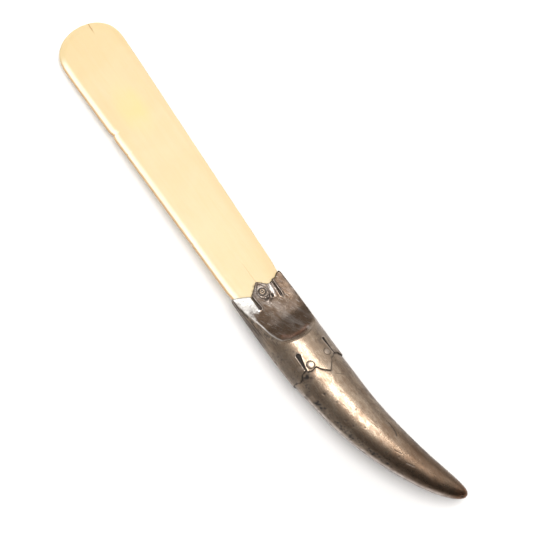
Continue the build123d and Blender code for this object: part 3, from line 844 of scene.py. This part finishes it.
# ------------------------------------------------------------------ materials
class Tree:
    def __init__(self, name):
        self.mat = bpy.data.materials.new(name)
        self.mat.use_nodes = True
        self.nt = self.mat.node_tree
        self.nt.nodes.clear()
        self.out = self.nt.nodes.new("ShaderNodeOutputMaterial")
        self.bsdf = self.nt.nodes.new("ShaderNodeBsdfPrincipled")
        self.nt.links.new(self.bsdf.outputs[0], self.out.inputs[0])
        tc = self.nt.nodes.new("ShaderNodeTexCoord")
        mp = self.nt.nodes.new("ShaderNodeMapping")
        mp.inputs["Scale"].default_value = (1000, 1000, 1000)
        self.nt.links.new(tc.outputs["Object"], mp.inputs["Vector"])
        self.co = mp.outputs[0]

    def link(self, a, b):
        self.nt.links.new(a, b)

    def put(self, sock, value):
        if hasattr(value, "default_value"):
            self.link(value, sock)
        else:
            sock.default_value = value

    def math(self, op, a, b=0.0, clamp=False, c=None):
        n = self.nt.nodes.new("ShaderNodeMath")
        n.operation, n.use_clamp = op, clamp
        self.put(n.inputs[0], a)
        self.put(n.inputs[1], b)
        if c is not None:
            self.put(n.inputs[2], c)
        return n.outputs[0]

    def scaled(self, s, off=(0, 0, 0), rot=(0, 0, 0)):
        n = self.nt.nodes.new("ShaderNodeMapping")
        n.inputs["Scale"].default_value = s
        n.inputs["Location"].default_value = off
        n.inputs["Rotation"].default_value = rot
        self.link(self.co, n.inputs["Vector"])
        return n.outputs[0]

    def noise(self, scale, detail=3.0, rough=0.55, vec=None, distort=0.0, lo=0.3, hi=0.7):
        n = self.nt.nodes.new("ShaderNodeTexNoise")
        n.inputs["Scale"].default_value = scale
        n.inputs["Detail"].default_value = detail
        n.inputs["Roughness"].default_value = rough
        n.inputs["Distortion"].default_value = distort
        self.link(vec or self.co, n.inputs["Vector"])
        return self.ramp(n.outputs[0], lo, hi)

    def ramp(self, x, lo, hi, a=0.0, b=1.0, smooth=True):
        n = self.nt.nodes.new("ShaderNodeMapRange")
        n.interpolation_type = "SMOOTHSTEP" if smooth else "LINEAR"
        n.inputs["From Min"].default_value = lo
        n.inputs["From Max"].default_value = hi
        n.inputs["To Min"].default_value = a
        n.inputs["To Max"].default_value = b
        self.link(x, n.inputs["Value"])
        return n.outputs[0]

    def attr(self, name):
        n = self.nt.nodes.new("ShaderNodeAttribute")
        n.attribute_name = name
        return n.outputs["Fac"]

    def mix(self, f, a, b, mode="MIX"):
        n = self.nt.nodes.new("ShaderNodeMix")
        n.data_type, n.blend_type = "RGBA", mode
        self.put(n.inputs[0], f)
        self.put(n.inputs[6], a if hasattr(a, "default_value") else (*a, 1))
        self.put(n.inputs[7], b if hasattr(b, "default_value") else (*b, 1))
        return n.outputs[2]

    def bump(self, height, strength, dist, normal=None):
        n = self.nt.nodes.new("ShaderNodeBump")
        n.inputs["Strength"].default_value = strength
        n.inputs["Distance"].default_value = dist
        self.link(height, n.inputs["Height"])
        if normal is not None:
            self.link(normal, n.inputs["Normal"])
        return n.outputs[0]

    def axis(self, i):
        n = self.nt.nodes.new("ShaderNodeSeparateXYZ")
        self.link(self.co, n.inputs[0])
        return n.outputs[i]


def row_mm(p):
    return tuple(to_row(np.array(p, float)) * 1000)


def near_line(t, a, b, width, wobble=None):
    # 1 on the line from a to b (row mm, seen from above), falling to 0 at width; also how far along
    a, b = np.array(row_mm(a)), np.array(row_mm(b))
    d = b - a
    d[2] = 0
    ln = np.linalg.norm(d)
    d /= ln
    x, y = t.axis(0), t.axis(1)
    ax, ay = t.math("SUBTRACT", x, float(a[0])), t.math("SUBTRACT", y, float(a[1]))
    along = t.math("ADD", t.math("MULTIPLY", ax, float(d[0])), t.math("MULTIPLY", ay, float(d[1])))
    across = t.math("ADD", t.math("MULTIPLY", ax, float(-d[1])), t.math("MULTIPLY", ay, float(d[0])))
    if wobble is not None:
        across = t.math("ADD", across, wobble)
    m = t.ramp(t.math("ABSOLUTE", across), width, 0.0)
    return m, along, ln


def bone_material():
    t = Tree("bone")
    grain = t.noise(1.0, 4, 0.6, t.scaled((0.045, 1.5, 1.2)), 0.3, 0.3, 0.72)
    streak = t.noise(1.0, 3, 0.5, t.scaled((0.012, 0.42, 0.5), (3, 7, 1)), 0.4, 0.32, 0.68)
    cloud = t.noise(0.055, 3, 0.5, None, 0.5, 0.3, 0.7)
    fleck = t.noise(1.0, 2, 0.5, t.scaled((0.25, 5.0, 5.0), (9, 2, 4)), 0.0, 0.66, 0.78)
    x = t.axis(0)
    nose = t.ramp(x, -85.0, -126.0)
    base = t.mix(t.math("MULTIPLY", grain, 0.55), BONE_A, BONE_B)
    base = t.mix(t.math("MULTIPLY", streak, 0.55), base, BONE_C)
    base = t.mix(t.math("MULTIPLY", cloud, 0.45), base, BONE_D)
    base = t.mix(t.math("MULTIPLY", nose, 0.45), base, BONE_NOSE)
    base = t.mix(t.math("MULTIPLY", fleck, 0.10), base, (0.55, 0.36, 0.16))
    base = t.mix(t.math("MULTIPLY", t.ramp(x, -45.0, 8.0), 0.55), base, BONE_D)
    # an amber stain on the outer half of the blade
    a = np.array(row_mm((42.0, 0.0, 1.5)))
    dx = t.math("MULTIPLY", t.math("SUBTRACT", x, float(a[0])), 1 / 15.0)
    dy = t.math("MULTIPLY", t.math("SUBTRACT", t.axis(1), float(a[1])), 1 / 7.5)
    rr = t.math("SQRT", t.math("ADD", t.math("MULTIPLY", dx, dx), t.math("MULTIPLY", dy, dy)))
    stain = t.math("MULTIPLY", t.ramp(rr, 1.15, 0.2), t.ramp(cloud, 0.0, 1.0, 0.55, 1.0))
    base = t.mix(t.math("MULTIPLY", stain, 0.80), base, (0.86, 0.60, 0.27))
    # painted highlight on the left bevel
    base = t.mix(t.math("MULTIPLY", t.attr("bevel_highlight"), t.ramp(streak, 0, 1, 0.95, 0.70)), base, (0.95, 0.90, 0.72))
    # painted shade on the blade's side walls
    base = t.mix(t.math("MULTIPLY", t.attr("side"), 0.85), base, (0.66, 0.40, 0.19))
    # hairline check by the collar, split at the nose
    wob = t.math("MULTIPLY", t.math("SUBTRACT", t.noise(0.9, 3, 0.6), 0.5), 0.22)
    m, along, ln = near_line(t, (118.0, 0.45, 1.8), (132.0, 0.9, 1.9), 0.16, wob)
    check = t.math("MULTIPLY", m, t.ramp(along, 1.0, 9.0))
    check = t.math("MULTIPLY", check, t.ramp(along, ln + 1.5, ln + 0.5))
    m2, along2, ln2 = near_line(t, (122.5, -0.7, 1.8), (131.0, -0.2, 1.9), 0.7, wob)
    halo = t.math("MULTIPLY", m2, t.math("MULTIPLY", t.ramp(along2, 0.0, 5.0), t.ramp(along2, ln2 + 1, ln2)))
    m3, along3, ln3 = near_line(t, (0.0, 5.08, 1.1), (7.2, 4.85, 1.2), 0.38, wob)
    split = t.math("MULTIPLY", m3, t.math("MULTIPLY", t.ramp(along3, -0.6, 0.4), t.ramp(along3, ln3, 3.2)))
    base = t.mix(t.math("MULTIPLY", halo, 0.10), base, (0.66, 0.44, 0.20))
    base = t.mix(t.math("MULTIPLY", check, 0.55), base, (0.45, 0.25, 0.09))
    base = t.mix(t.math("MULTIPLY", split, 0.85), base, (0.42, 0.22, 0.07))
    # this mask holds real dirt and painted shade: near black under the collar and in the hollows between parts
    grime_and_shade = t.attr("grime_and_shade")
    col = t.mix(grime_and_shade, base, (0.030, 0.017, 0.010))
    t.link(col, t.bsdf.inputs["Base Color"])
    rough = t.ramp(t.noise(0.5, 4, 0.6), 0, 1, 0.30, 0.42)
    rough = t.math("ADD", rough, t.math("MULTIPLY", grime_and_shade, 0.35))
    t.link(rough, t.bsdf.inputs["Roughness"])
    t.bsdf.inputs["IOR"].default_value = 1.52
    t.bsdf.inputs["Subsurface Weight"].default_value = 0.12
    t.bsdf.inputs["Subsurface Radius"].default_value = (1.0, 0.55, 0.25)
    t.bsdf.inputs["Subsurface Scale"].default_value = 0.002
    fine = t.noise(1.0, 4, 0.65, t.scaled((0.35, 3.2, 3.2), (1, 1, 1)), 0.0, 0.25, 0.75)
    dents = t.math("ADD", t.math("MULTIPLY", fine, 0.35), t.math("MULTIPLY", t.math("SUBTRACT", 1.0, t.math("MAXIMUM", check, split)), 1.0))
    t.link(t.bump(dents, 0.25, 0.0002), t.bsdf.inputs["Normal"])
    return t.mat


BONE_A, BONE_B, BONE_C, BONE_D, BONE_NOSE = (0.713, 0.581, 0.340), (0.697, 0.547, 0.303), (0.722, 0.597, 0.373), (0.680, 0.522, 0.274), (0.705, 0.539, 0.274)


def metal_material(name, tarnish=0.5, copper_tip=False, flank=False):
    t = Tree(name)
    big = t.noise(0.16, 4, 0.55, None, 0.6, 0.30, 0.70)
    mid = t.noise(0.55, 5, 0.62, t.scaled((0.7, 1.0, 1.0), (5, 3, 9)), 0.8, 0.32, 0.70)
    small = t.noise(2.2, 4, 0.6, None, 0.3, 0.35, 0.68)
    scuff = t.noise(1.0, 3, 0.55, t.scaled((0.16, 2.6, 2.6), (2, 8, 3)), 0.3, 0.45, 0.75)
    speck = t.noise(3.0, 2, 0.5, t.scaled((1, 1, 1), (11, 5, 2)), 0.0, 0.665, 0.74)
    grime_and_shade = t.attr("grime_and_shade")
    wear_and_painted_sheen = t.attr("wear_and_painted_sheen")
    worn, plate, brown, black = METAL_WORN, METAL_PLATE, METAL_BROWN, METAL_BLACK
    amount = t.math("ADD", t.math("MULTIPLY", big, 0.45), t.math("MULTIPLY", mid, 0.55))
    col = t.mix(t.math("MULTIPLY", amount, tarnish, True), plate, brown)
    col = t.mix(t.math("MULTIPLY", scuff, 0.35), col, worn)
    col = t.mix(t.math("MULTIPLY", small, 0.22), col, brown)
    if copper_tip:
        tip = t.ramp(t.attr("station"), 244.0, 250.2)
        reds = t.math("MULTIPLY", tip, t.noise(0.9, 3, 0.6, None, 0.4, 0.30, 0.62))
        col = t.mix(t.math("MULTIPLY", reds, 0.85), col, (0.40, 0.17, 0.09))
        # darker towards the tip: tarnish and painted shade that dims the highlight there
        tip_tarnish_and_shade = t.ramp(t.attr("station"), 200.0, 230.0)
        col = t.mix(t.math("MULTIPLY", tip_tarnish_and_shade, 0.68), col, (0.085, 0.048, 0.028))
    # scoop darkened: tarnish and painted shade
    col = t.mix(t.math("MULTIPLY", t.attr("tan"), t.ramp(mid, 0, 1, 0.80, 1.0)), col, (0.086, 0.056, 0.038))
    # painted reddish shade at the end of the scoop
    col = t.mix(t.math("MULTIPLY", t.attr("scoop_end_shade"), 0.7), col, (0.22, 0.105, 0.062))
    col = t.mix(t.math("MULTIPLY", speck, 0.75), col, black)
    # wear and painted sheen: raised and rubbed metal made paler, and on the tusk a painted pale reflection along the
    # seams
    col = t.mix(wear_and_painted_sheen, col, (0.66, 0.59, 0.55))
    # worn-bright metal and painted highlights on the collar
    col = t.mix(t.attr("bright"), col, (0.86, 0.84, 0.81))
    # dirt and painted shade both go to near black
    col = t.mix(grime_and_shade, col, black)
    t.link(col, t.bsdf.inputs["Base Color"])
    met = t.math("SUBTRACT", 1.0, t.math("MULTIPLY", t.math("MAXIMUM", grime_and_shade, t.math("MULTIPLY", speck, 0.8)), 0.75))
    t.link(met, t.bsdf.inputs["Metallic"])
    r = t.ramp(mid, 0, 1, 0.25, 0.36)
    r = t.math("ADD", r, t.math("MULTIPLY", small, 0.05))
    r = t.math("ADD", r, t.math("MULTIPLY", grime_and_shade, 0.35))
    t.link(r, t.bsdf.inputs["Roughness"])
    n1 = t.bump(t.noise(0.9, 4, 0.6, None, 0.2, 0.2, 0.8), 0.07, 0.00008)
    n2 = t.bump(t.noise(1.0, 3, 0.6, t.scaled((0.5, 5.0, 5.0), (4, 4, 4)), 0.0, 0.3, 0.8), 0.20, 0.00005, n1)
    n3 = t.bump(t.math("SUBTRACT", 1.0, speck), 0.30, 0.0001, n2)
    t.link(n3, t.bsdf.inputs["Normal"])
    return t.mat


METAL_WORN, METAL_PLATE, METAL_BROWN, METAL_BLACK = (0.38, 0.335, 0.285), (0.285, 0.226, 0.168), (0.120, 0.071, 0.043), (0.012, 0.008, 0.006)


def pitch_material():
    t = Tree("pitch")
    n = t.noise(0.6, 4, 0.6)
    t.link(t.mix(n, (0.035, 0.02, 0.012), (0.07, 0.042, 0.025)), t.bsdf.inputs["Base Color"])
    t.link(t.ramp(n, 0, 1, 0.35, 0.6), t.bsdf.inputs["Roughness"])
    t.link(t.bump(t.noise(1.5, 4, 0.6), 0.4, 0.0002), t.bsdf.inputs["Normal"])
    return t.mat


def floor_material():
    t = Tree("floor")
    n = t.noise(0.02, 2, 0.5)
    t.link(t.mix(n, (0.90, 0.895, 0.895), (0.915, 0.91, 0.91)), t.bsdf.inputs["Base Color"])
    t.bsdf.inputs["Roughness"].default_value = 0.9
    t.bsdf.inputs["Emission Color"].default_value = (1.0, 0.985, 0.98, 1)
    t.bsdf.inputs["Emission Strength"].default_value = 0.03
    t.bsdf.inputs["Specular IOR Level"].default_value = 0.1
    return t.mat


# ------------------------------------------------------------------ build the pieces
bone = bone_material()
collar_mat = metal_material("collar_silver", 0.55)
tusk_mat = metal_material("tusk_silver", 0.75, copper_tip=True)
rivet_mat = metal_material("rivet_silver", 0.35)
pitch_mat = pitch_material()

bv, bf, ba = build_blade()
make_object("bone_blade", bv, bf, ba, bone, nodes=("blade",), sharp=50)



def collar_wear_and_painted_light(p):
    """Where the collar is worn bright and where highlights are painted on it, and where its tarnish is deepest and
    shade is painted on it, by place.
    """
    x, y, z = p[:, 0], np.where(p[:, 2] >= 0, p[:, 1], -p[:, 1]), p[:, 2]
    q = np.stack([x, y], 1)
    scoop = np.array([(130, -11.6), (141.8, -9.7), (149, -8.2), (153.6, -7.4), (156.5, -6.5), (159.4, -4.8), (160.6, -1), (160.6, 4), (160.3, 6.7), (159.6, 8.2), (157.4, 11.2), (150, 13.4), (130, 13.4)])
    ring = np.vstack([scoop, scoop[:1]])

    def soft(poly, w):
        ring_ = np.vstack([poly, poly[:1]])
        d = poly_dist(q, [a for a in ring_])
        return step(-w, w, np.where(inside(q, poly), d, -d))

    def line(pts, w):
        return np.exp(-(poly_dist(q, [np.array(a, float) for a in pts]) / w) ** 2)

    # the scoop is made dark brown: partly tarnish, partly painted shade standing in for the dark reflection it shows
    tan = soft(scoop, 0.7) * 0.95
    # a near-white zone left of slit 1: worn plating and a painted highlight
    hot_highlight_and_wear = soft(np.array([(129, -11.6), (129, -4.1), (138.4, -4.7), (142.2, -4.1), (143.6, -6.0), (142.2, -8.0), (146.5, -8.5), (146.0, -9.2), (141.5, -10.1), (136, -11.0)]), 0.5)
    hot_highlight_and_wear *= np.clip(0.84 - 0.30 * step(139.5, 143.0, x) + 0.10 * waves(p, 2.6, 71) + 0.10 * waves(p, 0.9, 72), 0.25, 0.95)
    along = (x * math.cos(math.radians(24)) + y * math.sin(math.radians(24))) * 0.22
    across = (-x * math.sin(math.radians(24)) + y * math.cos(math.radians(24)))
    fine = waves(np.stack([along, across, 0 * x], 1), 0.9, 73)
    broad = waves(np.stack([along, across, 0 * x], 1), 2.4, 74)
    streak = line([(140.6, -1.8), (144.0, 0.4), (149.5, 2.6), (158.0, 5.4)], 1.7) * 0.9 + line([(146.0, -2.4), (153.0, 0.4), (157.5, 2.8)], 0.8) * 0.5 + line([(143.0, 6.0), (150.0, 9.2), (156.0, 10.4)], 0.7) * 0.4
    streak = streak * np.clip(0.45 + 0.50 * fine + 0.30 * broad, 0, 1)
    scratches = soft(scoop, 0.7) * np.clip(waves(np.stack([along * 0.6, across, 0 * x], 1), 0.45, 75) - 0.7, 0, 1) * 0.16
    # painted highlights: a bright line along the crease of the scoop, a bright patch at its far end and a gleam beside
    # the lobe
    crease = line([(143.6, -9.3), (149.0, -8.0), (153.6, -7.2), (156.6, -6.2), (158.6, -5.2)], 0.24) * np.clip(0.95 - 0.055 * (x - 148), 0.2, 0.9)
    crease = np.maximum(crease, line([(158.6, -5.2), (160.3, -2.0), (160.7, 1.5)], 0.22) * 0.18)
    end_highlight = np.exp(-(((x - 159.7) / 0.9) ** 2 + ((y - 7.0) / 0.75) ** 2)) * 0.42 * np.clip(0.8 + 0.4 * waves(p, 0.8, 77), 0, 1)
    gleam = np.exp(-(((x - 137.8) / 1.5) ** 2 + ((y - 4.35) / 0.55) ** 2)) * 0.80
    lobe_ = np.exp(-(((x - 136.2) / 2.6) ** 4 + ((y - 0.4) / 3.2) ** 4)) * 0.22 * np.clip(0.7 + 0.5 * waves(p, 1.1, 99), 0, 1)
    # worn metal and painted highlights together
    bright = np.maximum.reduce([gleam, lobe_, hot_highlight_and_wear, 0.17 * streak, scratches, crease, end_highlight])
    # painted shade on the flank just outside the scoop, with long fine rubbed lines in it
    flank = line([(134.0, -12.4), (142.0, -10.8), (149.5, -9.4), (154.0, -8.6), (158.0, -7.2)], 1.15)
    flank = np.maximum(flank, step(-9.6, -10.6, y) * step(163, 150, x))
    lines = np.clip(waves(np.stack([x * 0.10, y * 1.0, z * 1.0], 1), 0.55, 76), -1, 1)
    flank = flank * np.clip(0.62 - 0.45 * lines, 0, 1) * (1 - crease)
    dirt_and_shade = np.zeros(len(x))
    for cx, cy, r, k in ((153.95, -2.5, 0.42, 0.85), (148.56, -7.4, 0.40, 0.5), (164.66, -9.4, 0.45, 0.8), (165.0, -4.3, 0.55, 0.6), (166.3, -3.6, 0.35, 0.5), (147.5, 3.9, 0.3, 0.4), (151.6, 7.9, 0.35, 0.5), (156.2, 9.4, 0.4, 0.6)):
        dirt_and_shade = np.maximum(dirt_and_shade, k * np.exp(-(((x - cx) / r) ** 2 + ((y - cy) / r) ** 2)))
    mott = np.clip(0.5 * waves(p, 3.0, 91) + 0.6 * waves(p, 1.3, 92) - 0.12, 0, 1)
    dirt_and_shade = np.maximum(dirt_and_shade, 0.62 * mott * step(150, 160, x) * step(-5.0, -9.0, y))
    dirt_and_shade = np.maximum(dirt_and_shade, 0.40 * mott * step(158, 163, x) * step(3.5, 8.5, y))
    # painted shade: darker bands on both flanks behind the scoop and a darker strip along the right side of the flat
    # face
    mott2 = np.clip(0.72 + 0.28 * waves(p, 5.0, 96) + 0.16 * waves(p, 1.6, 97), 0.3, 1)
    dirt_and_shade = np.maximum(dirt_and_shade, (0.46 * step(-7.4, -9.6, y) + 0.34 * step(8.4, 10.6, y)) * mott2 * step(1.0, 2.6, np.abs(z)) * step(156, 163, x))
    dirt_and_shade = np.maximum(dirt_and_shade, 0.42 * step(9.8, 12.2, y) * step(160, 154, x) * (0.7 + 0.3 * waves(p, 2.0, 98)))
    dirt_and_shade = np.maximum(dirt_and_shade, 0.40 * np.exp(-(((x - 163.0) / 2.0) ** 2 + ((y + 6.2) / 2.2) ** 2)) * np.clip(0.75 + 0.4 * waves(p, 1.2, 100), 0, 1))
    # painted shade: a reddish-brown band where the scoop turns up at its end
    scoop_end_shade = line([(157.0, -3.6), (159.2, -1.0), (159.6, 3.0), (158.8, 7.0)], 0.9) * 0.8
    return np.clip(bright, 0, 1), np.clip(tan, 0, 1), np.clip(np.maximum(0.88 * flank * (1 - hot_highlight_and_wear), dirt_and_shade), 0, 1), np.clip(scoop_end_shade, 0, 1)


cv, cf, grime_and_shade, rise, cuv, cn, ce = collar_arrays()
wear_and_painted_highlight, scoop_tarnish_and_shade_mask, dirt_and_painted_shade, scoop_end_shade_mask = collar_wear_and_painted_light(cv)
# real dirt and painted shade join the collar's dark mask
grime_and_shade = np.maximum(grime_and_shade, dirt_and_painted_shade)
make_object("pierced_collar", cv, cf, dict(grime_and_shade=grime_and_shade, wear_and_painted_sheen=np.clip(rise * 2.2, 0, 0.6), bright=wear_and_painted_highlight, tan=scoop_tarnish_and_shade_mask, scoop_end_shade=scoop_end_shade_mask), collar_mat, nodes=("collar",), sharp=50)

for side, node in (("front", "tusk_front_shell"), ("back", "tusk_back_shell")):
    v_, f_, a_ = build_tusk(side)
    make_object("tusk_" + side, v_, f_, a_, tusk_mat, nodes=(node,), sharp=55)

rv, rf, ra_ = build_rivet()
make_object("lobe_rivet_heads", rv, rf, ra_, rivet_mat, nodes=("lobe_rivet",), sharp=45)

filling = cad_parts["pitch_filling"]
filling.data.materials.clear()
filling.data.materials.append(pitch_mat)

# ------------------------------------------------------------------ floor, light, camera
fm = bpy.data.meshes.new("floor")
S_ = 6.0
fm.from_pydata([(-S_, -S_, 0), (S_, -S_, 0), (S_, S_, 0), (-S_, S_, 0)], [], [(0, 1, 2, 3)])
fm.materials.append(floor_material())
floor = bpy.data.objects.new("floor", fm)
bpy.context.scene.collection.objects.link(floor)

C0 = Vector((0.05, 0.0, 0.01))


def area(name, direction, distance, size_x, size_y, power, color, target=C0):
    li = bpy.data.lights.new(name, "AREA")
    li.shape, li.size, li.size_y, li.energy, li.color = "RECTANGLE", size_x, size_y, power, color
    o = bpy.data.objects.new(name, li)
    d = Vector(direction).normalized()
    o.location = target + d * distance
    z = d
    x = Vector((1, 0, 0)) - z * z.x
    x.normalize()
    y = z.cross(x)
    o.rotation_euler = Matrix((x, y, z)).transposed().to_euler()
    bpy.context.scene.collection.objects.link(o)
    return o


area("softbox", (-0.055, 0.05, 1.0), 1.3, 0.29, 0.78, 11.5, (1.0, 0.985, 0.965))
area("side_panel", (0.02, 0.80, 0.60), 1.4, 1.3, 1.0, 4.2, (1.0, 0.985, 0.97))
area("low_fill", (-0.90, 0.15, 0.42), 1.6, 0.9, 0.5, 2.5, (1.0, 0.98, 0.97))

w = bpy.data.worlds.new("studio")
bpy.context.scene.world = w
w.use_nodes = True
nt = w.node_tree
nt.nodes.clear()


def sky(kind, **kw):
    n = nt.nodes.new(kind)
    for k, v in kw.items():
        setattr(n, k, v)
    return n


def sky_math(op, x, y=None):
    n = sky("ShaderNodeMath", operation=op)
    for i, v in enumerate((x, y)):
        if v is None:
            continue
        if isinstance(v, (int, float)):
            n.inputs[i].default_value = v
        else:
            nt.links.new(v, n.inputs[i])
    return n.outputs[0]


def sky_ramp(x, a, b, lo, hi):
    n = sky("ShaderNodeMapRange", interpolation_type="SMOOTHSTEP")
    for k, v in (("From Min", a), ("From Max", b), ("To Min", lo), ("To Max", hi)):
        n.inputs[k].default_value = v
    nt.links.new(x, n.inputs["Value"])
    return n.outputs[0]


# a white band arches over from side to side, with darker ends: the walls of a small soft studio
sep = sky("ShaderNodeSeparateXYZ")
nt.links.new(sky("ShaderNodeTexCoord").outputs["Generated"], sep.inputs[0])
sx, sy = sep.outputs["X"], sep.outputs["Y"]
band = sky_math("MULTIPLY", sky_ramp(sky_math("ABSOLUTE", sky_math("ADD", sx, 0.05)), 0.12, 0.42, 1.0, 0.0), sky_ramp(sky_math("ABSOLUTE", sky_math("SUBTRACT", sy, 0.06)), 0.15, 1.0, 1.0, 0.12))
ends = sky_ramp(sx, -0.45, 0.30, 0.48, 0.16)
bright = sky_math("ADD", ends, sky_math("MULTIPLY", band, 1.35))
bg = sky("ShaderNodeBackground")
bg.inputs["Color"].default_value = (1.0, 0.98, 0.96, 1)
nt.links.new(bright, bg.inputs["Strength"])
nt.links.new(bg.outputs[0], sky("ShaderNodeOutputWorld").inputs[0])

cam = bpy.data.cameras.new("camera")
cam.sensor_fit, cam.sensor_width, cam.lens = "HORIZONTAL", 36.0, 2000.0 / 533.0 * 36.0
cam.clip_start, cam.clip_end = 0.05, 20.0
co = bpy.data.objects.new("camera", cam)
right, up_, fwd = turn([0.56389, 0.82280, 0.07110]), turn([-0.80920, 0.53326, 0.24668]), turn([-0.16505, 0.19663, -0.96649])
m = Matrix.Identity(4)
for r in range(3):
    m[r][0], m[r][1], m[r][2] = right[r], up_[r], -fwd[r]
loc = to_row([263.30, -152.08, 789.41])
m[0][3], m[1][3], m[2][3] = loc
co.matrix_world = m
bpy.context.scene.collection.objects.link(co)
bpy.context.scene.camera = co
bpy.context.scene.view_settings.view_transform = "Standard"
bpy.context.scene.view_settings.look = "None"
